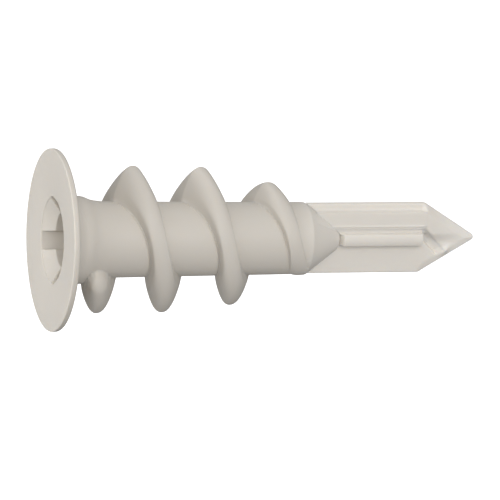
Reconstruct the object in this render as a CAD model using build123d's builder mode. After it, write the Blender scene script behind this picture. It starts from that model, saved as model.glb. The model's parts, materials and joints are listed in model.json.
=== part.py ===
from build123d import *
import os
from math import cos, radians, sin

# Self-drilling plasterboard anchor in nylon.
#
# The frame: X runs along the anchor from the head to the drill point, with X = 0 on the seating
# face under the flange. Z is up, the two wings of the drill blade lie at +Z and -Z, and the front
# of the blade looks towards -Y. Distances called "from the head" start at the front of the head.

# Driving dimensions, in millimetres and degrees
LENGTH = 32.0  # front of the head to the drill point

FLANGE_RADIUS = 6.5
FLANGE_THICKNESS = 0.5  # at the rim, where it seats on the board
RIM_ROUND = 0.2
SEAT_INNER_RADIUS = 5.4  # the flat seating ring clears the thread
FLANGE_ROOT = 1.1  # depth of the flange where it joins the socket

SOCKET_RADIUS = 3.6  # inside the flange
NECK_RADIUS = 3.15
NECK_START, NECK_END = 1.5, 2.2
SOCKET_END = 3.5
COUNTERSINK_RADIUS, COUNTERSINK_DEPTH = 3.1, 1.2
SLOT_RADIUS, SLOT_WIDTH, SLOT_DEPTH = 3.2, 1.3, 3.0
SLOT_ANGLE = 72.0  # of one slot about X, from +Y towards +Z

BORE_RADIUS = 1.6  # the same from the bottom of the countersink to the nose
SLEEVE_RADIUS_HEAD, SLEEVE_RADIUS_TIP = 2.75, 2.6
SLEEVE_END = 18.9

PITCH = 5.08
CREST_DISTANCE, CREST_ANGLE = 3.38, -99.0  # one point that the crest passes through
THREAD_START_ANGLE = -142.0
THREAD_RADIUS = 5.3  # at the plane where the halves of the mould part
THREAD_WAIST = 3.5  # at the front and the back, where the thread stays low
PARTING_ANGLE = 81.0
ROOT_HALF_WIDTH, CREST_HALF_WIDTH = 1.4, 0.3
CREST_OVERRUN = 0.2  # how far the flight is drawn past the radius that it is trimmed to
WEB_WIDTH, WEB_ANGLE = 0.7, 90.0  # the flare behind the first thread
THREAD_TAPER = ((8.6, 5.4), (11.1, 5.2), (13.6, 4.82), (16.1, 4.08), (17.3, 3.5), (18.6, 2.65))
RUN_OUT_END = 18.6

CONE_END, CONE_END_RADIUS = 21.55, 0.75
BORE_CONE_DEPTH = 1.4

WING_HALF_WIDTH = 2.65
WING_HALF_THICKNESS = 0.3
SHOULDER = 28.0  # where the point begins, from the head
SPLIT_HEIGHT = 0.8  # the split runs here on one side, and at minus this on the other
GAP = 0.06  # of the split, and between a leg and the nose cone
RIB_START, RIB_END = 21.65, 27.75
RIB_LOW, RIB_HIGH, RIB_FRONT = -0.35, 0.48, 1.1
RIB_ROUND = 0.15
LAND_LOW, LAND_HIGH, LAND_FRONT = 1.2, 2.15, 0.75
LAND_SLOPE, LAND_STEP = 0.25, 0.05  # how much wider the land is at its foot, below and above
LAND_END = 27.9
POINT_HALF_THICKNESS, POINT_END_HALF_THICKNESS = 0.55, 0.22

HEAD_FACE = -FLANGE_THICKNESS
HELIX_START = 90.0  # the angle at which a helix along X begins

# Planes: PROFILE for turned outlines (distance from the head, radius) and for the blade's outline
# from above, and FRONT for the blade's outline (distance from the head, height), normal to -Y
PROFILE = Plane(origin=(HEAD_FACE, 0, 0), x_dir=(1, 0, 0), z_dir=(0, 0, 1))
FRONT = Plane(origin=(HEAD_FACE, 0, 0), x_dir=(1, 0, 0), z_dir=(0, -1, 0))


def across(distance):
    """The plane square to the anchor at a distance from the head: local x is +Y, local y is +Z."""
    return Plane(origin=(HEAD_FACE + distance, 0, 0), x_dir=(0, 1, 0), z_dir=(1, 0, 0))


def radial(distance, angle):
    """The plane through the axis at an angle: local x is outwards, local y is along the anchor."""
    outwards = (0, cos(radians(angle)), sin(radians(angle)))
    around = (0, sin(radians(angle)), -cos(radians(angle)))
    return Plane(origin=(HEAD_FACE + distance, 0, 0), x_dir=outwards, z_dir=around)


def crest_distance(angle):
    """How far from the head the thread's crest lies at an angle about X."""
    return CREST_DISTANCE + PITCH * (angle - CREST_ANGLE) / 360


def sleeve_radius(distance):
    """The sleeve's outer radius, which tapers a little towards the point."""
    share = (distance - SOCKET_END) / (SLEEVE_END - SOCKET_END)
    return SLEEVE_RADIUS_HEAD + (SLEEVE_RADIUS_TIP - SLEEVE_RADIUS_HEAD) * share


# The flange
with BuildPart() as head_flange:
    with BuildSketch(PROFILE):
        with BuildLine():
            Polyline(
                (0, SOCKET_RADIUS),
                (0, FLANGE_RADIUS),
                (FLANGE_THICKNESS, FLANGE_RADIUS),
                (FLANGE_THICKNESS, SEAT_INNER_RADIUS),
                (FLANGE_ROOT, SOCKET_RADIUS),
                close=True,
            )
        make_face()
    revolve(axis=Axis.X)
    fillet(head_flange.edges().filter_by(GeomType.CIRCLE).group_by(SortBy.RADIUS)[-1], RIM_ROUND)

# The screwdriver socket, inside the flange and the neck
with BuildPart() as drive_socket:
    with BuildSketch(PROFILE):
        with BuildLine():
            Polyline(
                (0, BORE_RADIUS),
                (0, SOCKET_RADIUS),
                (FLANGE_ROOT, SOCKET_RADIUS),
                (NECK_START, NECK_RADIUS),
                (NECK_END, NECK_RADIUS),
                (SOCKET_END, SLEEVE_RADIUS_HEAD),
                (SOCKET_END, BORE_RADIUS),
                close=True,
            )
        make_face()
    revolve(axis=Axis.X)
    with BuildSketch(PROFILE):
        with BuildLine():
            Polyline(
                (0, 0), (0, COUNTERSINK_RADIUS), (COUNTERSINK_DEPTH, BORE_RADIUS),
                (COUNTERSINK_DEPTH, 0), close=True,
            )
        make_face()
    revolve(axis=Axis.X, mode=Mode.SUBTRACT)
    for quarter in (0, 90):
        with BuildSketch(radial(0, SLOT_ANGLE + quarter)):
            with BuildLine():
                Polyline(
                    (-SLOT_RADIUS, 0), (SLOT_RADIUS, 0),
                    (BORE_RADIUS, SLOT_DEPTH), (-BORE_RADIUS, SLOT_DEPTH), close=True,
                )
            make_face()
        extrude(amount=SLOT_WIDTH / 2, both=True, mode=Mode.SUBTRACT)

# The hollow sleeve that the screw bites into
with BuildPart() as screw_sleeve:
    with BuildSketch(PROFILE):
        with BuildLine():
            Polyline(
                (SOCKET_END, BORE_RADIUS),
                (SOCKET_END, SLEEVE_RADIUS_HEAD),
                (SLEEVE_END, SLEEVE_RADIUS_TIP),
                (SLEEVE_END, BORE_RADIUS),
                close=True,
            )
        make_face()
    revolve(axis=Axis.X)

# The closed nose, with the end of the bore inside it
with BuildPart() as nose_cone:
    with BuildSketch(PROFILE):
        with BuildLine():
            Polyline(
                (SLEEVE_END, BORE_RADIUS),
                (SLEEVE_END, SLEEVE_RADIUS_TIP),
                (CONE_END, CONE_END_RADIUS),
                (CONE_END, 0),
                (SLEEVE_END + BORE_CONE_DEPTH, 0),
                close=True,
            )
        make_face()
    revolve(axis=Axis.X)

# The space that every thread solid is trimmed to: outside the neck and sleeve, inside the taper, and
# inside a pointed oval as seen along the axis, which is two arcs that meet at the parting plane
WAIST_ARC = (THREAD_RADIUS**2 + THREAD_WAIST**2) / (2 * THREAD_WAIST)
WAIST_OFFSET = WAIST_ARC - THREAD_WAIST
with BuildPart() as thread_room:
    with BuildSketch(PROFILE):
        with BuildLine():
            Polyline(
                (NECK_START, NECK_RADIUS),
                (NECK_START, THREAD_TAPER[0][1]),
                *THREAD_TAPER,
                (RUN_OUT_END, sleeve_radius(RUN_OUT_END)),
                (SOCKET_END, SLEEVE_RADIUS_HEAD),
                (NECK_END, NECK_RADIUS),
                close=True,
            )
        make_face()
    revolve(axis=Axis.X)
    with BuildPart(mode=Mode.INTERSECT):
        with BuildSketch(across(NECK_START)):
            for side, mode in ((-1, Mode.ADD), (1, Mode.INTERSECT)):
                aside = radians(PARTING_ANGLE + 90 * side)
                with Locations((WAIST_OFFSET * cos(aside), WAIST_OFFSET * sin(aside))):
                    Circle(WAIST_ARC, mode=mode)
        extrude(amount=RUN_OUT_END - NECK_START)


def thread_solid(start_angle, sweep_angle, outline):
    """One stretch of the thread, its outline given as (radius, distance from the crest)."""
    start = crest_distance(start_angle)
    path = Helix(
        pitch=PITCH,
        height=PITCH * sweep_angle / 360,
        radius=SLEEVE_RADIUS_HEAD,
        center=(HEAD_FACE + start, 0, 0),
        direction=(1, 0, 0),
        mode=Mode.PRIVATE,
    ).rotate(Axis.X, start_angle - HELIX_START)
    with BuildPart() as stretch:
        with BuildSketch(radial(start, start_angle)):
            with BuildLine():
                Polyline(*outline, close=True)
            make_face()
        sweep(path=path, is_frenet=True)
        add(thread_room.part, mode=Mode.INTERSECT)
    return stretch


FLIGHT = (
    (BORE_RADIUS, -ROOT_HALF_WIDTH),
    (THREAD_RADIUS + CREST_OVERRUN, -CREST_HALF_WIDTH),
    (THREAD_RADIUS + CREST_OVERRUN, CREST_HALF_WIDTH),
    (BORE_RADIUS, ROOT_HALF_WIDTH),
)
WEB = (
    FLIGHT[0],
    (BORE_RADIUS, -ROOT_HALF_WIDTH - WEB_WIDTH),
    (SLEEVE_RADIUS_HEAD, -ROOT_HALF_WIDTH - WEB_WIDTH),
    FLIGHT[1],
)

# The thread: a flare behind its blunt start, three turns, and the end that fades into the sleeve
START_TURN = CREST_ANGLE + 360 - THREAD_START_ANGLE
thread_web = thread_solid(THREAD_START_ANGLE, WEB_ANGLE, WEB)
thread_turn_1 = thread_solid(THREAD_START_ANGLE, START_TURN, FLIGHT)
thread_turn_2 = thread_solid(CREST_ANGLE + 360, 360, FLIGHT)
thread_turn_3 = thread_solid(CREST_ANGLE + 720, 270, FLIGHT)
thread_run_out = thread_solid(CREST_ANGLE + 990, 90, FLIGHT)

# One leg of the drill blade, drawn as the upper one. The lower leg is the same leg turned half
# way round the axis. The split between them runs along the groove beside the front rib, down the
# middle plane behind the rib and along the groove on the back, and it crosses the point aslant.
CUTTING_SLOPE = WING_HALF_WIDTH / (LENGTH - SHOULDER)
SLANT_LENGTH = (WING_HALF_WIDTH + SPLIT_HEIGHT) / (1 + CUTTING_SLOPE)  # at 45 degrees
SLANT_END = (SHOULDER + SLANT_LENGTH, SPLIT_HEIGHT - SLANT_LENGTH)
SLANT_CROSS = SHOULDER + SPLIT_HEIGHT  # where the slanting splits of front and back cross

# The space that the nose cone and the end of the sleeve take, with the gap round them
with BuildPart() as nose_room:
    with BuildSketch(PROFILE):
        with BuildLine():
            Polyline(
                (SOCKET_END, 0),
                (SOCKET_END, FLANGE_RADIUS),
                (SLEEVE_END + GAP, FLANGE_RADIUS),
                (SLEEVE_END + GAP, SLEEVE_RADIUS_TIP + GAP),
                (CONE_END + GAP, CONE_END_RADIUS + GAP),
                (CONE_END + GAP, 0),
                close=True,
            )
        make_face()
    revolve(axis=Axis.X)

# The wing: a flat plate above the split, and its back half reaches on down behind the front rib
with BuildPart() as upper_wing:
    with BuildSketch(FRONT):
        with BuildLine():
            Polyline(
                (SLEEVE_END, SPLIT_HEIGHT + GAP / 2),
                (SLEEVE_END, WING_HALF_WIDTH),
                (SHOULDER, WING_HALF_WIDTH),
                (SHOULDER, SPLIT_HEIGHT + GAP / 2),
                close=True,
            )
        make_face()
    extrude(amount=WING_HALF_THICKNESS, both=True)
    with BuildSketch(FRONT.offset(-GAP / 2)):
        with BuildLine():
            Polyline(
                (SLEEVE_END, GAP / 2 - SPLIT_HEIGHT),
                (SLEEVE_END, WING_HALF_WIDTH),
                (SHOULDER, WING_HALF_WIDTH),
                (SHOULDER, GAP / 2 - SPLIT_HEIGHT),
                close=True,
            )
        make_face()
    extrude(amount=GAP / 2 - WING_HALF_THICKNESS)
    add(nose_room.part, mode=Mode.SUBTRACT)

# The stiffening rib that stands on the back of the wing
with BuildPart() as upper_rib:
    with BuildSketch(across(RIB_START)):
        with BuildLine():
            Polyline(
                (WING_HALF_THICKNESS, -RIB_LOW),
                (WING_HALF_THICKNESS, -RIB_HIGH),
                (RIB_FRONT, -RIB_HIGH),
                (RIB_FRONT, -RIB_LOW),
                close=True,
            )
        make_face()
    extrude(amount=RIB_END - RIB_START)
    fillet(upper_rib.faces().sort_by(Axis.Y)[-1].edges(), RIB_ROUND)

# The raised land between the groove and the thin outer edge, on the front of the wing
with BuildPart() as upper_land:
    with BuildSketch(across(SLEEVE_END)):
        with BuildLine():
            Polyline(
                (-WING_HALF_THICKNESS, LAND_LOW - LAND_SLOPE),
                (-LAND_FRONT, LAND_LOW),
                (-LAND_FRONT, LAND_HIGH),
                (-WING_HALF_THICKNESS, LAND_HIGH + LAND_STEP),
                close=True,
            )
        make_face()
    extrude(amount=LAND_END - SLEEVE_END)
    add(nose_room.part, mode=Mode.SUBTRACT)

# The leg's share of the drill point: above the slanting split in front of the middle plane, and
# above the opposite slant behind it
with BuildPart() as upper_point:
    with BuildSketch(FRONT.offset(GAP / 2)):
        with BuildLine():
            Polyline(
                (SHOULDER, SPLIT_HEIGHT + GAP), (SHOULDER, WING_HALF_WIDTH), (LENGTH, 0),
                (SLANT_END[0] + GAP, SLANT_END[1] + GAP * CUTTING_SLOPE), close=True,
            )
        make_face()
    extrude(amount=POINT_HALF_THICKNESS)
    with BuildSketch(FRONT.offset(-GAP / 2)):
        with BuildLine():
            Polyline(
                (SHOULDER, GAP - SPLIT_HEIGHT), (SHOULDER, WING_HALF_WIDTH),
                (SLANT_END[0] - GAP, -SLANT_END[1] + GAP * CUTTING_SLOPE), close=True,
            )
        make_face()
    extrude(amount=-POINT_HALF_THICKNESS)
    with BuildSketch(FRONT):
        with BuildLine():
            Polyline(
                (SHOULDER, SPLIT_HEIGHT + GAP), (SHOULDER, WING_HALF_WIDTH),
                (SLANT_END[0] - GAP, -SLANT_END[1] + GAP * CUTTING_SLOPE),
                (SLANT_CROSS, GAP), close=True,
            )
        make_face()
    extrude(amount=GAP, both=True)
    with BuildSketch(PROFILE):
        with BuildLine():
            Polyline(
                (SHOULDER, -POINT_HALF_THICKNESS), (SHOULDER, POINT_HALF_THICKNESS),
                (LENGTH, POINT_END_HALF_THICKNESS),
                (LENGTH, -POINT_END_HALF_THICKNESS), close=True,
            )
        make_face()
    extrude(amount=WING_HALF_WIDTH, both=True, mode=Mode.INTERSECT)

ROOT_PIECES = {
    "head_flange": head_flange,
    "drive_socket": drive_socket,
    "screw_sleeve": screw_sleeve,
    "nose_cone": nose_cone,
    "thread_web": thread_web,
    "thread_turn_1": thread_turn_1,
    "thread_turn_2": thread_turn_2,
    "thread_turn_3": thread_turn_3,
    "thread_run_out": thread_run_out,
}
LEG_PIECES = {
    "wing": upper_wing,
    "rib": upper_rib,
    "land": upper_land,
    "point": upper_point,
}

os.makedirs("parts", exist_ok=True)


def write_piece(piece, name):
    """Label one finished piece and write its STEP file."""
    piece.part.label = name
    export_step(piece.part, f"parts/{name}.step")


for name, piece in ROOT_PIECES.items():
    write_piece(piece, name)
for name, piece in LEG_PIECES.items():
    with BuildPart() as turned:
        add(piece.part, rotation=(180, 0, 0))
    write_piece(piece, f"upper_{name}")
    write_piece(turned, f"lower_{name}")
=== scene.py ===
import json
import math

import bmesh
import bpy
import numpy as np
from mathutils import Matrix, Vector


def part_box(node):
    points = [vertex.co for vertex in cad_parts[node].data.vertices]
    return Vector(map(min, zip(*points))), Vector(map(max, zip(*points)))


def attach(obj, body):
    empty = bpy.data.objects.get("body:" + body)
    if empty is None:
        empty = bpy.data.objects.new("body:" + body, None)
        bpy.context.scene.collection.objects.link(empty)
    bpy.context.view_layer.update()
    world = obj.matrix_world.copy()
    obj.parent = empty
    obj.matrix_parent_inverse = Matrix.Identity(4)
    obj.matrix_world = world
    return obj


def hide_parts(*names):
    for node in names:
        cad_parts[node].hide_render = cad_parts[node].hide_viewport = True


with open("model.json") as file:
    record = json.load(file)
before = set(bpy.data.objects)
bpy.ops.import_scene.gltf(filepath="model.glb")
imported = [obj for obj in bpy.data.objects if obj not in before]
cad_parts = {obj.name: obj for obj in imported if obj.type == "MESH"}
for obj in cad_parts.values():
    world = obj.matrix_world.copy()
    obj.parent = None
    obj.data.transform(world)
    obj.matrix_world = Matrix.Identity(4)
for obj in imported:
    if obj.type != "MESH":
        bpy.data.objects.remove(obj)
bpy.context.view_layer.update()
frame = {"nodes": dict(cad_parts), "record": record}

# A nylon self-drilling plasterboard anchor. Shapes are worked out in millimetres: "distance" runs
# along the anchor from the front of its head, an "angle" turns about the axis from +Y towards +Z,
# and make_mesh() turns both into the frame's metres.
MM = 0.001


def size_of(node):
    """The lowest and highest corners of a CAD node, in millimetres."""
    low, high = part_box(node)
    return low / MM, high / MM


# Places read from the frame
HEAD_X = size_of("head_flange")[0].x
FLANGE_RADIUS = size_of("head_flange")[1].z
FLANGE_DEPTH = size_of("head_flange")[1].x - HEAD_X
SLEEVE_END = size_of("screw_sleeve")[1].x - HEAD_X
CONE_END = size_of("nose_cone")[1].x - HEAD_X
LENGTH = size_of("upper_point")[1].x - HEAD_X
SHOULDER = size_of("upper_point")[0].x - HEAD_X
WING_HALF_WIDTH = size_of("upper_wing")[1].z
BORE_RADIUS = next(m for m in frame["record"]["mounts"] if m["name"] == "screw_bore")["dims"]["r_mm"]

# The outline of the turned body
RIM_THICKNESS = 0.42
RIM_ROUND = 0.19
SEAT, SEAT_RADIUS = 0.5, 5.4  # where the flange's seating ring lies, and its inner edge
NECK_RADIUS = 3.15
SLEEVE_RADIUS_HEAD, SLEEVE_RADIUS_TIP = 2.72, 2.6
NOSE_RADIUS = 0.75

# The thread. Seen along the axis its crest is a pointed oval: it reaches out furthest in the plane
# where the two halves of the mould meet, and stays low across the front and the back.
PITCH = 5.08
CREST_DISTANCE, PARTING_ANGLE = 5.92, 81.0
LONG_REACH = ((3.0, 5.3), (8.6, 5.3), (11.1, 5.2), (13.6, 4.82), (16.1, 4.08), (17.3, 3.5), (18.6, 2.6),
              (18.9, 2.2), (21.6, 0.2))
SHORT_REACH = ((3.0, 3.5), (14.5, 3.45), (17.3, 3.0), (18.6, 2.55), (18.9, 2.1), (21.6, 0.1))
# How far the thread spreads from its crest towards the head and towards the tip, each at the parting
# plane and then across the front and the back, and how the spread towards the head narrows on the way
# to the tip. The section is part gentle slope and part steep wall; WALL_SHARE is the wall's share.
HEAD_SPREAD, TIP_SPREAD = (1.4, 0.7), (1.42, 0.62)
SPREAD_FADE = ((11.1, 1.0), (16.1, 0.76), (18.6, 0.7))
WALL_SHARE = (0.14, 0.9)
SLOPE_POWER, WALL_POWER = 2.3, 24.0
ROOT_ROUND = 0.02
CREASE_DEPTH, CREASE_WIDTH = 0.17, 0.1  # of the fine line along the thread's root on its head side
# the blunt start: where it is, over how many degrees it rises, how far it is moved towards the tip,
# and how wide it is there beside the rest of the thread
START_ANGLE, START_RAMP, START_SHIFT = -148.0, 16.0, 0.28
START_WIDTH, START_WIDTH_RAMP = 0.75, 70.0
# the web on the head side of the start
WEB_WIDTH, WEB_POWER = 1.5, 1.7
WEB_FULL_ANGLE, WEB_END_ANGLE = -110.0, -40.0
SINK = 0.3  # the flanks run on this far into the sleeve, so that they meet it at an angle

COLUMNS = 288
ROWS_PER_PITCH = 52


def smooth_step(value, start, end):
    """0 before start, 1 after end, with a smooth ramp between them."""
    t = np.clip((value - start) / (end - start), 0, 1)
    return t * t * (3 - 2 * t)


def between(value, rise, fall):
    """0 outside and 1 inside: a smooth ramp up over rise, and a smooth ramp down over fall."""
    return smooth_step(value, *rise) * (1 - smooth_step(value, *fall))


def soft_max(a, b, radius):
    """The greater of two heights, with a hollow fillet of about that radius where they cross."""
    gap = np.clip(radius - np.abs(a - b), 0, None)
    return np.maximum(a, b) + gap * gap / (4 * radius)


def soft_min(a, b, radius):
    """The lesser of two heights, with the corner where they cross rounded off."""
    return -soft_max(-a, -b, radius)


def make_mesh(name, points_mm, faces):
    """A mesh object from points given as (distance from the head, y, z) in millimetres."""
    points = np.array(points_mm, float)
    points[:, 0] += HEAD_X
    mesh = bpy.data.meshes.new(name)
    mesh.from_pydata((points * MM).tolist(), [], faces)
    mesh.validate()
    mesh.polygons.foreach_set("use_smooth", [True] * len(mesh.polygons))
    mesh.update()
    piece = bpy.data.objects.new(name, mesh)
    bpy.context.scene.collection.objects.link(piece)
    return piece


# ---------------------------------------------------------------- the turned body and its thread
def rounded_outline(corners, step=8):
    """Points along (distance, radius) corners given as (distance, radius, round), each corner rounded."""
    out = []
    for i, (d, r, rounding) in enumerate(corners):
        corner = np.array((d, r), float)
        if rounding == 0 or i in (0, len(corners) - 1):
            out.append(corner)
            continue
        before = np.array(corners[i - 1][:2], float) - corner
        after = np.array(corners[i + 1][:2], float) - corner
        reach = min(rounding, 0.49 * np.linalg.norm(before), 0.49 * np.linalg.norm(after))
        start = corner + before / np.linalg.norm(before) * reach
        end = corner + after / np.linalg.norm(after) * reach
        for t in np.linspace(0, 1, step + 1):
            out.append((1 - t) ** 2 * start + 2 * t * (1 - t) * corner + t * t * end)
    return np.array(out)


BODY_START, FLARE_RADIUS = 1.35, 3.42
THREAD_END = SLEEVE_END - 0.45
body_outline = rounded_outline(
    [
        (BODY_START, FLARE_RADIUS, 0),
        (1.75, NECK_RADIUS, 0.4),
        (2.3, NECK_RADIUS - 0.03, 0.25),
        (2.95, 2.84, 0.3),
        (3.9, SLEEVE_RADIUS_HEAD, 0.4),
        (SLEEVE_END, SLEEVE_RADIUS_TIP, 0.12),
        (CONE_END - 0.12, NOSE_RADIUS + 0.1, 0.1),
        (CONE_END, NOSE_RADIUS - 0.2, 0.1),
        (CONE_END + 0.05, 0.0, 0),
    ]
)


def turned_radius(distance):
    """The radius of the neck, sleeve and nose before the thread is added."""
    return np.interp(distance, body_outline[:, 0], body_outline[:, 1])


def look_up(table, distance):
    """The value at a distance in a table of (distance, value) rows, read off in straight lines."""
    columns = np.array(table)
    return np.interp(distance, columns[:, 0], columns[:, 1])


def oval_reach(distance, angle):
    """How far the crest's pointed oval reaches at a distance and an angle."""
    long_reach, short_reach = look_up(LONG_REACH, distance), look_up(SHORT_REACH, distance)
    arc_radius = (long_reach**2 + short_reach**2) / (2 * short_reach)
    arc_offset = arc_radius - short_reach
    aside = np.abs(np.sin(np.radians(angle - PARTING_ANGLE)))
    return np.sqrt(arc_radius**2 - arc_offset**2 * (1 - aside**2)) - arc_offset * aside


def crest_distance(wound):
    """How far from the head the crest lies at an angle counted on from one turn to the next."""
    shift = START_SHIFT * (1 - smooth_step(wound, PARTING_ANGLE - 180, PARTING_ANGLE - 60))
    return CREST_DISTANCE + PITCH * (wound - PARTING_ANGLE) / 360 + shift


def spreads(crest, aside):
    """How far the thread spreads from its crest: towards the head, and towards the tip."""
    head, tip = (pair[0] + (pair[1] - pair[0]) * aside for pair in (HEAD_SPREAD, TIP_SPREAD))
    return head * look_up(SPREAD_FADE, crest), tip


def body_radius(distance, angle):
    """The radius of the body and its thread, for an angle up to a turn past the parting plane."""
    sleeve = turned_radius(distance)
    best = np.full(np.broadcast(distance, angle).shape, -10.0)
    crease = np.zeros(best.shape)
    aside = np.abs(np.sin(np.radians(angle - PARTING_ANGLE)))
    wall = WALL_SHARE[0] + (WALL_SHARE[1] - WALL_SHARE[0]) * aside
    for turn in range(-1, 4):
        wound = angle + 360 * turn
        crest = crest_distance(wound)
        begun = np.clip((wound - START_ANGLE) / START_RAMP, 0, 1)
        start = np.sqrt(begun * (2 - begun))
        widening = smooth_step(wound, START_ANGLE, START_ANGLE + START_WIDTH_RAMP)
        width = (START_WIDTH + (1 - START_WIDTH) * widening) * np.maximum(start, 0.02)
        height = (oval_reach(crest, angle) - turned_radius(crest)) * start
        behind = crest - distance
        head_spread, tip_spread = spreads(crest, aside)
        away = np.where(behind > 0, behind / head_spread, -behind / tip_spread) / width
        away = np.clip(away, 0, 1)
        section = 1 - (1 - wall) * away**SLOPE_POWER - wall * away**WALL_POWER
        best = np.maximum(best, sleeve - SINK + (height + SINK) * section)
        web = np.clip(1 - behind / WEB_WIDTH, 0, 1) ** WEB_POWER * (behind > 0)
        web = web * between(wound, (START_ANGLE, WEB_FULL_ANGLE), (WEB_FULL_ANGLE, WEB_END_ANGLE))
        best = np.maximum(best, sleeve - SINK + height * web)
        root_gap = (behind - head_spread * width) / CREASE_WIDTH
        crease = np.maximum(crease, aside * np.clip(height / 0.4, 0, 1) * np.exp(-(root_gap**2)))
    return soft_max(sleeve - CREASE_DEPTH * crease, best, ROOT_ROUND)


# The recess for the screwdriver: a round mouth, lands that slope inwards, and a cross of slots. The
# face of the head is dished, so its mouth lies a little deeper than the rim of the flange.
DISH = 0.17
RECESS_DEPTH = 2.9
MOUTH_RADIUS, LAND_RADIUS, LAND_DEPTH = 3.12, 2.0, 0.78
SLOTS = ((3.12, 0.5), (3.05, 0.66))  # the reach and half width of the upright slot, then the level one
SLOT_FLOOR_RADIUS, WELL_RADIUS = 2.3, 1.8
MOUTH_ROUND = 0.07
RECESS_ANGLE = 72.0  # of the upright slot, from +Y towards +Z
BORE_CONE = 1.4  # the depth of the bore's closed end


def recess_radius(depth, angle):
    """The wall of the recess: how far it is from the axis at a depth under its mouth."""
    land = MOUTH_RADIUS + (LAND_RADIUS - MOUTH_RADIUS) * min(depth / LAND_DEPTH, 1)
    below = max((depth - LAND_DEPTH) / (RECESS_DEPTH - LAND_DEPTH), 0)
    wall = np.full(len(angle), land + (WELL_RADIUS - land) * below)
    for quarter, (reach, half_width) in enumerate(SLOTS):
        sine = np.abs(np.sin(np.radians(angle - RECESS_ANGLE - 90 * quarter)))
        side = half_width / np.maximum(sine, 1e-3)
        end = reach + (SLOT_FLOOR_RADIUS - reach) * depth / RECESS_DEPTH
        wall = soft_max(wall, soft_min(side, np.full(len(angle), end), 0.15), 0.06)
    return wall


class Skin:
    """A closed skin made of rings round the anchor's axis, each with one point per column."""

    def __init__(self, angles):
        self.angles = angles
        turn = np.radians(angles)
        self.outwards = np.stack([np.zeros(len(angles)), np.cos(turn), np.sin(turn)], 1)
        self.points = []
        self.faces = []

    def ring(self, distance, radius):
        """Add a ring. Its distance and radius may each be a number or one value per column."""
        first = len(self.points)
        row = self.outwards * np.broadcast_to(radius, len(self.angles))[:, None]
        row[:, 0] = distance
        self.points.extend(row.tolist())
        return list(range(first, len(self.points)))

    def pole(self, distance):
        """Add a point on the axis."""
        self.points.append([distance, 0.0, 0.0])
        return len(self.points) - 1

    def column_pairs(self, a, b):
        """The points of two rings, one column and the next at a time."""
        return zip(a, a[1:] + a[:1], b, b[1:] + b[:1])

    def join(self, a, b):
        """Faces between two rings."""
        for a_here, a_next, b_here, b_next in self.column_pairs(a, b):
            self.faces.append((a_here, b_here, b_next, a_next))

    def close(self, pole, ring):
        """Faces between a point on the axis and a ring."""
        for here, after in zip(ring, ring[1:] + ring[:1]):
            self.faces.append((pole, here, after))


def add_head(skin):
    """The bore, the recess, the face, the rim and the flare under the flange. Returns the last ring."""
    # the closed end of the bore, and the bore up to the recess
    bottom = skin.pole(SLEEVE_END + BORE_CONE)
    rings = []
    for share in (0.35, 0.7, 1.0):
        rings.append(skin.ring(SLEEVE_END + BORE_CONE * (1 - share), BORE_RADIUS * share))
    for distance in np.linspace(SLEEVE_END, DISH + RECESS_DEPTH, 12)[1:]:
        rings.append(skin.ring(distance, BORE_RADIUS))
    # the recess above its ledge, with rows closer together near the mouth
    for share in np.linspace(1, 0, 60):
        depth = RECESS_DEPTH * share**1.6
        if depth < MOUTH_ROUND:
            break
        rings.append(skin.ring(DISH + depth, recess_radius(depth, skin.angles)))
    # the rounded lip of the mouth, then the dished face of the head
    wall = recess_radius(MOUTH_ROUND, skin.angles)
    for t in np.linspace(0, math.pi / 2, 6)[1:]:
        depth, widening = MOUTH_ROUND * (1 - math.sin(t)), MOUTH_ROUND * (1 - math.cos(t))
        rings.append(skin.ring(DISH + depth, wall + widening))
    mouth = wall + MOUTH_ROUND
    face_end = FLANGE_RADIUS - RIM_ROUND
    for share in np.linspace(0, 1, 20)[1:]:
        rings.append(skin.ring(DISH * (1 - share) ** 2, mouth + (face_end - mouth) * share))
    # the rounded rim, the flat seat and the flare under the flange
    rim = rounded_outline(
        [
            (0.0, face_end, 0),
            (0.0, FLANGE_RADIUS, RIM_ROUND),
            (RIM_THICKNESS, FLANGE_RADIUS, RIM_ROUND),
            (SEAT, SEAT_RADIUS + 0.8, 0.3),
            (SEAT, SEAT_RADIUS, 0.2),
            (FLANGE_DEPTH - 0.05, 3.75, 0.4),
            (BODY_START, FLARE_RADIUS, 0),
        ],
        step=6,
    )
    for distance, radius in rim[1:-1]:
        rings.append(skin.ring(distance, radius))
    rings.append(skin.ring(BODY_START, body_radius(BODY_START, skin.angles)))
    for a, b in zip(rings, rings[1:]):
        skin.join(a, b)
    skin.close(bottom, rings[0])
    return rings[-1]


def row_offsets():
    """Where the rows of one pitch lie, on a scale with the crest at 0 and its roots at -1 and 1."""
    fine = np.linspace(-PITCH / 2, PITCH / 2, 2001)
    density = 1 + np.exp(-((fine / 1.2) ** 4)) + 4 * np.exp(-(((np.abs(fine) - 1) / 0.12) ** 2))
    rows_so_far = np.cumsum(density)
    return np.interp(np.arange(ROWS_PER_PITCH) / ROWS_PER_PITCH, rows_so_far / rows_so_far[-1], fine)


def column_rows(angle, offsets):
    """The distances of the rows that follow the thread down one column, keyed by their number."""
    aside = abs(math.sin(math.radians(angle - PARTING_ANGLE)))
    rows = {}
    for turn in range(-3, 5):
        before, crest, after = (crest_distance(angle + 360 * (turn + k)) for k in (-1, 0, 1))
        head_spread, tip_spread = spreads(crest, aside)
        stops = (before + crest) / 2, crest - head_spread, crest, crest + tip_spread, (crest + after) / 2
        distances = np.interp(offsets, (-PITCH / 2, -1, 0, 1, PITCH / 2), stops)
        for row, distance in enumerate(distances):
            if BODY_START + 0.02 < distance < THREAD_END - 0.02:
                rows[turn * ROWS_PER_PITCH + row] = distance
    return rows


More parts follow.
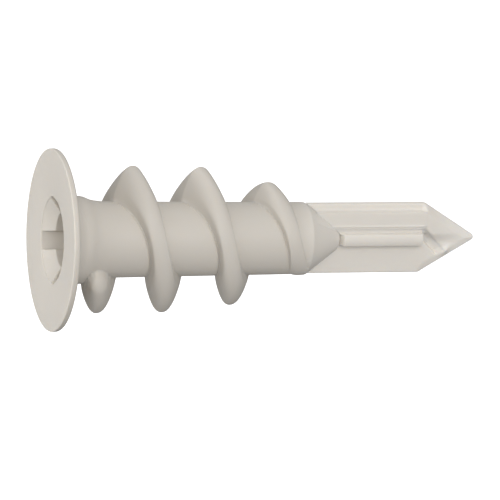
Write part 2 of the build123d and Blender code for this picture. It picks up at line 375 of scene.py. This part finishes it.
def add_thread(skin, head_ring):
    """The threaded stretch, from the last ring of the head. Returns its own last ring."""
    offsets = row_offsets()
    columns = []
    for angle, outwards in zip(skin.angles, skin.outwards):
        rows = column_rows(angle, offsets)
        keys = sorted(rows)
        distances = np.array([rows[key] for key in keys])
        radii = body_radius(distances, angle)
        first = len(skin.points)
        points = outwards * radii[:, None]
        points[:, 0] = distances
        skin.points.extend(points.tolist())
        columns.append({key: first + i for i, key in enumerate(keys)})
    # the first column again, one turn on
    columns.append({key - ROWS_PER_PITCH: index for key, index in columns[0].items()})
    tail_ring = skin.ring(THREAD_END, body_radius(THREAD_END, skin.angles))
    ends = skin.column_pairs(head_ring, tail_ring)
    for left, right, (head, head_next, tail, tail_next) in zip(columns, columns[1:], ends):
        shared = sorted(set(left) & set(right))
        for key in shared[:-1]:
            skin.faces.append((left[key], left[key + 1], right[key + 1], right[key]))
        # the rows that only one of the two columns has, at the head and at the tip
        left_start, right_start = ([c[key] for key in sorted(c) if key <= shared[0]] for c in (left, right))
        skin.faces.append([head, *left_start, *reversed(right_start), head_next])
        left_end, right_end = ([c[key] for key in sorted(c) if key >= shared[-1]] for c in (left, right))
        skin.faces.append([*left_end, tail, tail_next, *reversed(right_end)])
    return tail_ring


def add_nose(skin, tail_ring):
    """The end of the sleeve and the nose."""
    previous = tail_ring
    for distance, radius in body_outline:
        if distance > THREAD_END + 0.02 and radius > 0.01:
            current = skin.ring(distance, body_radius(distance, skin.angles))
            skin.join(previous, current)
            previous = current
    tip = skin.pole(body_outline[-1][0])
    skin.close(tip, previous[::-1])


def root_mesh():
    """The flange, recess, neck, sleeve, thread and nose as one closed skin."""
    skin = Skin(PARTING_ANGLE + 360.0 * np.arange(COLUMNS) / COLUMNS)
    head_ring = add_head(skin)
    tail_ring = add_thread(skin, head_ring)
    add_nose(skin, tail_ring)
    return make_mesh("anchor_body", skin.points, skin.faces)


body = root_mesh()


# ------------------------------------------------------------------------- the drill blade's legs
# LOW and HIGH are heights along Z, START and END are distances from the head, and FRONT is how far a
# surface stands from the blade's middle plane.
SPLIT_HEIGHT = 0.8
SPLIT_GAP = 0.006  # on each side of the split
NOSE_GAP = 0.012  # between a leg and the nose
WING = 0.3  # half the thickness of the wings
BAND, BAND_LOW = 0.24, 2.1  # half the thickness of their thin outer edge, and where it begins
LAND_LOW, LAND_HIGH, LAND_FRONT, LAND_END = 1.05, 2.04, 0.75, 28.0
LIP_HEIGHT, LIP_WIDTH = 0.05, 0.08  # of the fine bead along the lower edge of the land
GROOVE_LOW, GROOVE_FRONT = 0.55, 0.67
RIB_LOW, RIB_HIGH, RIB_FRONT = -0.35, 0.48, 1.1
RIB_START, RIB_END = 21.78, 27.75
RIB_CROWN = 0.1  # how much lower its front is at the sides than in the middle
RIB_ROUND, RIB_SLOPE = 0.08, 0.4  # the ramps at its sides and at its start
POINT_FRONT, POINT_END_FRONT, POINT_EDGE = 0.74, 0.3, 0.14
# the flute: its ramps across the slant and down it, and how much of the point's thickness it takes
FLUTE_ACROSS = ((-1.05, -0.8), (-0.75, 0.3))
FLUTE_DOWN = ((-0.25, 0.1), (1.4, 1.65))
FLUTE_SHARE = 0.9
RIDGE_DOWN, RIDGE_HEIGHT, RIDGE_THICKNESS, RIDGE_SPAN = 1.78, 0.2, 0.18, 0.6
EDGE_ROUND = 0.14
TIP_ROUND = 0.3
tip_centre = LENGTH - TIP_ROUND
cutting_angle = math.atan2(WING_HALF_WIDTH, LENGTH + 0.27 - SHOULDER)
line_tip = tip_centre + TIP_ROUND / math.sin(cutting_angle)


def blade_half_width(distance):
    """Half the blade's width: parallel wings, straight cutting edges and a rounded tip."""
    line = (line_tip - distance) * math.tan(cutting_angle)
    arc = np.sqrt(np.clip(TIP_ROUND**2 - (distance - tip_centre) ** 2, 0, None))
    tangent = tip_centre + TIP_ROUND * math.sin(cutting_angle)
    taper = np.where(distance > tangent, arc, line)
    return soft_min(np.full_like(taper, WING_HALF_WIDTH), taper, 0.05)


def blade_front(distance, height):
    """How far the front of the blade stands from its middle plane."""
    edge = blade_half_width(distance) - np.abs(height)
    surface = np.full_like(height, WING)
    surface = surface - (WING - BAND) * smooth_step(height, BAND_LOW, BAND_LOW + 0.2)
    # the land, with a shallow groove below it and a step down to the thin band above it
    land = between(height, (RIB_HIGH - 0.12, RIB_HIGH), (LAND_HIGH, LAND_HIGH + 0.1))
    land = land * (1 - smooth_step(distance, LAND_END, LAND_END + 0.6))
    front = GROOVE_FRONT + (LAND_FRONT - GROOVE_FRONT) * smooth_step(height, GROOVE_LOW, LAND_LOW)
    front = front + LIP_HEIGHT * np.exp(-(((height - LAND_LOW) / LIP_WIDTH) ** 2))
    surface = surface + (front - surface) * land
    # the point, which thins towards its tip and its two cutting edges
    past_shoulder = smooth_step(distance, SHOULDER - 0.3, SHOULDER + 0.3)
    thick = WING + (POINT_FRONT - WING) * smooth_step(height, -0.4, 0.5)
    thick = thick + (POINT_END_FRONT - thick) * smooth_step(distance, SHOULDER, LENGTH)
    point = POINT_EDGE + (thick - POINT_EDGE) * smooth_step(edge, -0.1, 0.75)
    # the slanting flute across the point, and the ridge that ends it
    across = (distance - SHOULDER) + (height - SPLIT_HEIGHT)
    down = ((distance - SHOULDER) - (height - SPLIT_HEIGHT)) / 2
    flute = between(across, *FLUTE_ACROSS) * between(down, *FLUTE_DOWN)
    ridge = np.exp(-((down - RIDGE_DOWN) / RIDGE_THICKNESS) ** 2) * np.exp(-((across / RIDGE_SPAN) ** 2))
    point = point * (1 - FLUTE_SHARE * flute) + RIDGE_HEIGHT * ridge
    surface = surface + (point - surface) * past_shoulder
    # the rib
    rib = between(height, (RIB_LOW - RIB_ROUND, RIB_LOW), (RIB_HIGH, RIB_HIGH + RIB_ROUND))
    rib = rib * between(distance, (RIB_START - RIB_SLOPE, RIB_START), (RIB_END, RIB_END + RIB_ROUND))
    off_centre = (2 * height - RIB_LOW - RIB_HIGH) / (RIB_HIGH - RIB_LOW)
    surface = surface + (RIB_FRONT - RIB_CROWN * off_centre**2 - surface) * rib
    # every outer edge is rounded off to nothing at the middle plane
    fall = np.clip(edge / EDGE_ROUND, 0, 1)
    return surface * np.sqrt(1 - (1 - fall) ** 2)


def spaced(low, high, count, places, width, gain):
    """Numbers from low to high, closer together near the given places."""
    fine = np.linspace(low, high, 4001)
    density = np.ones_like(fine)
    for place in places:
        density += gain * np.exp(-(((fine - place) / width) ** 2))
    share = np.cumsum(density)
    share = (share - share[0]) / (share[-1] - share[0])
    return np.interp(np.linspace(0, 1, count), share, fine)


def blade_mesh():
    """Both wings, ribs and the point as one closed skin, before it is split into its legs."""
    steps = (RIB_LOW, RIB_HIGH, LAND_LOW, LAND_HIGH, WING_HALF_WIDTH)
    fine_heights = [sign * step for step in steps for sign in (-1, 1)]
    heights = spaced(-WING_HALF_WIDTH, WING_HALF_WIDTH, 191, fine_heights, 0.1, 6)
    fine_distances = (RIB_START, RIB_END, SHOULDER + 0.6, SHOULDER + 1.4, LENGTH)
    distances = spaced(SLEEVE_END - 0.6, LENGTH - 1e-4, 320, fine_distances, 0.45, 5)
    half = blade_half_width(distances)
    grid_d = np.repeat(distances[:, None], len(heights), 1)
    grid_z = heights[None, :] * (half / WING_HALF_WIDTH)[:, None]
    front = blade_front(grid_d, grid_z)
    back = blade_front(grid_d, -grid_z)
    points = []
    index_front = np.zeros(grid_d.shape, int)
    index_back = np.zeros(grid_d.shape, int)
    last = len(heights) - 1
    for i in range(len(distances)):
        for j in range(len(heights)):
            index_front[i, j] = len(points)
            points.append([grid_d[i, j], -front[i, j], grid_z[i, j]])
            index_back[i, j] = index_front[i, j]
            if 0 < j < last:
                index_back[i, j] = len(points)
                points.append([grid_d[i, j], back[i, j], grid_z[i, j]])
    faces = []
    f, b = index_front, index_back
    for i in range(len(distances) - 1):
        for j in range(last):
            faces.append((f[i, j], f[i + 1, j], f[i + 1, j + 1], f[i, j + 1]))
            faces.append((b[i, j], b[i, j + 1], b[i + 1, j + 1], b[i + 1, j]))
    for i, flip in ((0, False), (len(distances) - 1, True)):
        loop = [*index_front[i], *reversed(index_back[i, 1:last])]
        faces.append(loop[::-1] if flip else loop)
    return make_mesh("drill_blade", points, [tuple(int(v) for v in f) for f in faces])


def face_outwards(piece):
    """Turn every face of a closed mesh outwards, as the exact boolean needs."""
    bm = bmesh.new()
    bm.from_mesh(piece.data)
    bmesh.ops.recalc_face_normals(bm, faces=bm.faces)
    bm.to_mesh(piece.data)
    bm.free()
    return piece


def prism(name, outline, low, high):
    """A closed prism: an outline of (distance, height) points, from y = low to y = high."""
    count = len(outline)
    points = [(d, y, z) for y in (low, high) for d, z in outline]
    faces = [tuple(range(count)), tuple(range(2 * count - 1, count - 1, -1))]
    for i in range(count):
        j = (i + 1) % count
        faces.append((i, i + count, j + count, j))
    return face_outwards(make_mesh(name, points, faces))


def combine(piece, tool, operation):
    """Apply an exact boolean to piece and delete the tool."""
    modifier = piece.modifiers.new("cut", "BOOLEAN")
    modifier.operation = operation
    modifier.solver = "EXACT"
    modifier.object = tool
    evaluated = piece.evaluated_get(bpy.context.evaluated_depsgraph_get())
    mesh = bpy.data.meshes.new_from_object(evaluated)
    piece.modifiers.remove(modifier)
    old = piece.data
    piece.data = mesh
    bpy.data.meshes.remove(old)
    bpy.data.objects.remove(tool)


def nose_tool():
    """The space of the sleeve and the nose, which the legs are cut away from."""
    g = NOSE_GAP
    outline = [
        (SLEEVE_END - 2, 4.0), (SLEEVE_END + g, 4.0), (SLEEVE_END + g, SLEEVE_RADIUS_TIP + g),
        (CONE_END - 0.12, NOSE_RADIUS + 0.1 + g), (CONE_END + g, NOSE_RADIUS - 0.2 + g),
    ]
    skin = Skin(360.0 * np.arange(240) / 240)
    start = skin.pole(SLEEVE_END - 2)
    rings = [skin.ring(distance, radius) for distance, radius in outline]
    tip = skin.pole(CONE_END + 0.05 + g)
    skin.close(start, rings[0])
    for a, b in zip(rings, rings[1:]):
        skin.join(a, b)
    skin.close(tip, rings[-1][::-1])
    return face_outwards(make_mesh("nose_room", skin.points, skin.faces))


def leg_room(side):
    """The space of one leg: above the split in front, and above the opposite split behind."""
    far = 6.0  # well past the blade
    start = SLEEVE_END - 3
    g = SPLIT_GAP
    front = [
        (start, SPLIT_HEIGHT + g), (SHOULDER, SPLIT_HEIGHT + g),
        (SHOULDER + far, SPLIT_HEIGHT + g - far), (SHOULDER + far, far), (start, far),
    ]
    back = [
        (start, g - SPLIT_HEIGHT), (SHOULDER, g - SPLIT_HEIGHT),
        (SHOULDER + far, g - SPLIT_HEIGHT + far), (start, far),
    ]
    cross = (SHOULDER + SPLIT_HEIGHT + g, g)
    both = [
        (start - 1, SPLIT_HEIGHT + 2 * g), (SHOULDER, SPLIT_HEIGHT + 2 * g), cross,
        (SHOULDER + far, far - SPLIT_HEIGHT + 2 * g), (start - 1, far + 1),
    ]
    room = prism("leg_room", front, -4.0, -g)
    combine(room, prism("behind", back, g, 4.0), "UNION")
    combine(room, prism("between", both, -3 * g, 3 * g), "UNION")
    if side == "lower":
        room.data.transform(Matrix.Rotation(math.pi, 4, "X"))
    return room


def mark_sharp(piece, degrees):
    """Smooth shading with every edge sharper than an angle left crisp."""
    bm = bmesh.new()
    bm.from_mesh(piece.data)
    for face in bm.faces:
        face.smooth = True
    for edge in bm.edges:
        edge.smooth = len(edge.link_faces) == 2 and edge.calc_face_angle(0) < math.radians(degrees)
    bm.to_mesh(piece.data)
    bm.free()


legs = {}
for side in ("upper", "lower"):
    leg = blade_mesh()
    leg.name = leg.data.name = f"{side}_leg"
    combine(leg, leg_room(side), "INTERSECT")
    combine(leg, nose_tool(), "DIFFERENCE")
    mark_sharp(leg, 38)
    legs[side] = leg


# ------------------------------------------------------------------------------------- materials
def nylon(name, colour, painted_light_colour, painted_light_start, painted_light_end):
    """Natural nylon: faint flow marks in its colour and sheen, and a fine moulded skin. Between two
    distances from the head it turns paler, a painted brightening that stands in for light."""
    material = bpy.data.materials.new(name)
    material.use_nodes = True
    nodes, links = material.node_tree.nodes, material.node_tree.links
    shader = nodes["Principled BSDF"]
    place = nodes.new("ShaderNodeTexCoord")
    stretch = nodes.new("ShaderNodeMapping")
    stretch.inputs["Scale"].default_value = (180, 420, 420)
    links.new(place.outputs["Object"], stretch.inputs["Vector"])

    flow = nodes.new("ShaderNodeTexNoise")
    flow.inputs["Scale"].default_value = 1.0
    flow.inputs["Detail"].default_value = 3.0
    links.new(stretch.outputs["Vector"], flow.inputs["Vector"])
    tint = nodes.new("ShaderNodeMix")
    tint.data_type = "RGBA"
    tint.inputs["A"].default_value = (*[c * 0.975 for c in colour], 1)
    tint.inputs["B"].default_value = (*[min(c * 1.02, 1) for c in colour], 1)
    links.new(flow.outputs["Fac"], tint.inputs["Factor"])
    parts = nodes.new("ShaderNodeSeparateXYZ")
    links.new(place.outputs["Object"], parts.inputs["Vector"])
    # painted light: the colour turns paler along the axis between the two distances
    painted_light_share = nodes.new("ShaderNodeMapRange")
    painted_light_share.interpolation_type = "SMOOTHSTEP"
    painted_light_share.inputs["From Min"].default_value = (HEAD_X + painted_light_start) * MM
    painted_light_share.inputs["From Max"].default_value = (HEAD_X + painted_light_end) * MM
    links.new(parts.outputs["X"], painted_light_share.inputs["Value"])
    painted_light_mix = nodes.new("ShaderNodeMix")
    painted_light_mix.data_type = "RGBA"
    painted_light_mix.inputs["B"].default_value = (*painted_light_colour, 1)
    links.new(painted_light_share.outputs["Result"], painted_light_mix.inputs["Factor"])
    links.new(tint.outputs["Result"], painted_light_mix.inputs["A"])
    links.new(painted_light_mix.outputs["Result"], shader.inputs["Base Color"])

    skin = nodes.new("ShaderNodeTexNoise")
    skin.inputs["Scale"].default_value = 9000.0
    skin.inputs["Detail"].default_value = 2.0
    links.new(place.outputs["Object"], skin.inputs["Vector"])
    sheen = nodes.new("ShaderNodeMapRange")
    sheen.inputs["To Min"].default_value = 0.42
    sheen.inputs["To Max"].default_value = 0.55
    links.new(flow.outputs["Fac"], sheen.inputs["Value"])
    links.new(sheen.outputs["Result"], shader.inputs["Roughness"])
    bump = nodes.new("ShaderNodeBump")
    bump.inputs["Strength"].default_value = 0.08
    bump.inputs["Distance"].default_value = 0.00002
    links.new(skin.outputs["Fac"], bump.inputs["Height"])
    links.new(bump.outputs["Normal"], shader.inputs["Normal"])

    shader.inputs["Subsurface Weight"].default_value = 0.35
    shader.inputs["Subsurface Radius"].default_value = (1.0, 0.85, 0.65)
    shader.inputs["Subsurface Scale"].default_value = 0.0003
    shader.inputs["IOR"].default_value = 1.53
    shader.inputs["Specular IOR Level"].default_value = 0.35
    return material


# painted light: the nose is painted a little paler than the sleeve, and the thin point a little paler than
# the wings, for the light that comes through the thin nylon and onto the nose
body_nylon = nylon(
    "nylon", colour=(0.66, 0.62, 0.56), painted_light_colour=(0.76, 0.72, 0.66), painted_light_start=17.6, painted_light_end=19.6
)
# painted light: the blade's nylon is painted paler than the body's, for the light its thin wings let
# through
blade_nylon_painted_paler = nylon(
    "nylon_blade", colour=(0.79, 0.75, 0.69), painted_light_colour=(0.86, 0.82, 0.76), painted_light_start=27.8, painted_light_end=30.5
)

body.data.materials.append(body_nylon)
for leg in legs.values():
    leg.data.materials.clear()
    leg.data.materials.append(blade_nylon_painted_paler)
for name, node in frame["nodes"].items():
    leg_node = name.startswith(("upper", "lower"))
    for slot in node.material_slots:
        slot.material = blade_nylon_painted_paler if leg_node else body_nylon

# ------------------------------------------------------------------------ bodies and replaced nodes
groups = frame["record"]["behaviour"]["bodies"]
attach(body, "root")
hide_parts(*groups["root"])
for side, leg in legs.items():
    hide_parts(*groups[f"{side}_leg"])
    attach(leg, f"{side}_leg")

# --------------------------------------------------------------------------- camera, light, floor
AXIS_TURN = math.radians(18.09)  # how far the anchor's axis turns out of the picture, head nearer
UPRIGHT_ANGLE = 72.0  # of the picture's upright about the axis, from +Y towards +Z
ROLL = math.radians(0.55)
CAMERA_DISTANCE = 300 * MM
FOCAL_LENGTH, SENSOR_WIDTH = 305.424, 36.0  # in millimetres
HEAD_LEFT, HEAD_UP = 14.16 * MM, 0.7 * MM  # how far the head lies from the middle of the picture

along = Vector((1, 0, 0))
up = Vector((0, math.cos(math.radians(UPRIGHT_ANGLE)), math.sin(math.radians(UPRIGHT_ANGLE))))
front = along.cross(up)
towards_camera = front * math.cos(AXIS_TURN) - along * math.sin(AXIS_TURN)
right = along * math.cos(AXIS_TURN) + front * math.sin(AXIS_TURN)
camera_up = up * math.cos(ROLL) + right * math.sin(ROLL)
camera_right = right * math.cos(ROLL) - up * math.sin(ROLL)
head_centre = Vector((HEAD_X * MM, 0, 0))

lens = bpy.data.cameras.new("camera")
lens.sensor_width = SENSOR_WIDTH
lens.lens = FOCAL_LENGTH
lens.clip_start, lens.clip_end = 0.01, 20.0
camera = bpy.data.objects.new("camera", lens)
bpy.context.scene.collection.objects.link(camera)
turn = Matrix((camera_right, camera_up, towards_camera)).transposed()
camera.matrix_world = Matrix.Translation(
    head_centre + towards_camera * CAMERA_DISTANCE + camera_right * HEAD_LEFT - camera_up * HEAD_UP
) @ turn.to_4x4()
bpy.context.scene.camera = camera


def lamp(name, place, target, size, watts):
    """A square area light at a place, in metres, aimed at a target."""
    data = bpy.data.lights.new(name, "AREA")
    data.shape = "SQUARE"
    data.size = size
    data.energy = watts
    light = bpy.data.objects.new(name, data)
    light.location = place
    light.rotation_euler = (Vector(target) - Vector(place)).to_track_quat("-Z", "Y").to_euler()
    bpy.context.scene.collection.objects.link(light)


middle = Vector((LENGTH / 2 * MM, 0, 0))
lamp("key", middle + towards_camera * 0.36 + camera_up * 0.05 + camera_right * 0.1, middle, 0.16, 0.58)
lamp("head", head_centre - along * 0.3 + towards_camera * 0.04 + camera_up * 0.04, head_centre, 0.06, 0.4)

floor_mesh = bpy.data.meshes.new("floor")
reach, level = 3.0, -0.06
floor_mesh.from_pydata(
    [(-reach, -reach, level), (reach, -reach, level), (reach, reach, level), (-reach, reach, level)],
    [], [(0, 1, 2, 3)],
)
floor = bpy.data.objects.new("floor", floor_mesh)
bpy.context.scene.collection.objects.link(floor)
pale = bpy.data.materials.new("pale_floor")
pale.use_nodes = True
pale_shader = pale.node_tree.nodes["Principled BSDF"]
pale_shader.inputs["Base Color"].default_value = (0.95, 0.95, 0.95, 1)
pale_shader.inputs["Roughness"].default_value = 0.9
pale_shader.inputs["Emission Color"].default_value = (1, 1, 1, 1)
pale_shader.inputs["Emission Strength"].default_value = 0.8
floor.data.materials.append(pale)
floor.visible_diffuse = False  # it stays white behind the anchor without lighting it from below
floor.visible_glossy = False

# the studio's soft light is brighter above, in front and on the head's side of the anchor
SKY_DARK, SKY_BRIGHT = 0.2, 0.72
world = bpy.data.worlds.new("studio")
world.use_nodes = True
sky, links = world.node_tree.nodes, world.node_tree.links
direction = sky.new("ShaderNodeTexCoord")
facing = sky.new("ShaderNodeVectorMath")
facing.operation = "DOT_PRODUCT"
facing.inputs[1].default_value = (towards_camera * 0.55 + camera_up * 0.4 - camera_right * 0.5).normalized()
links.new(direction.outputs["Generated"], facing.inputs[0])
spread = sky.new("ShaderNodeMapRange")
spread.inputs["From Min"].default_value = -1.0
spread.inputs["To Min"].default_value = SKY_DARK
spread.inputs["To Max"].default_value = SKY_BRIGHT
links.new(facing.outputs["Value"], spread.inputs["Value"])
links.new(spread.outputs["Result"], sky["Background"].inputs["Strength"])
sky["Background"].inputs["Color"].default_value = (1, 1, 1, 1)
bpy.context.scene.world = world
bpy.context.scene.view_settings.view_transform = "Standard"
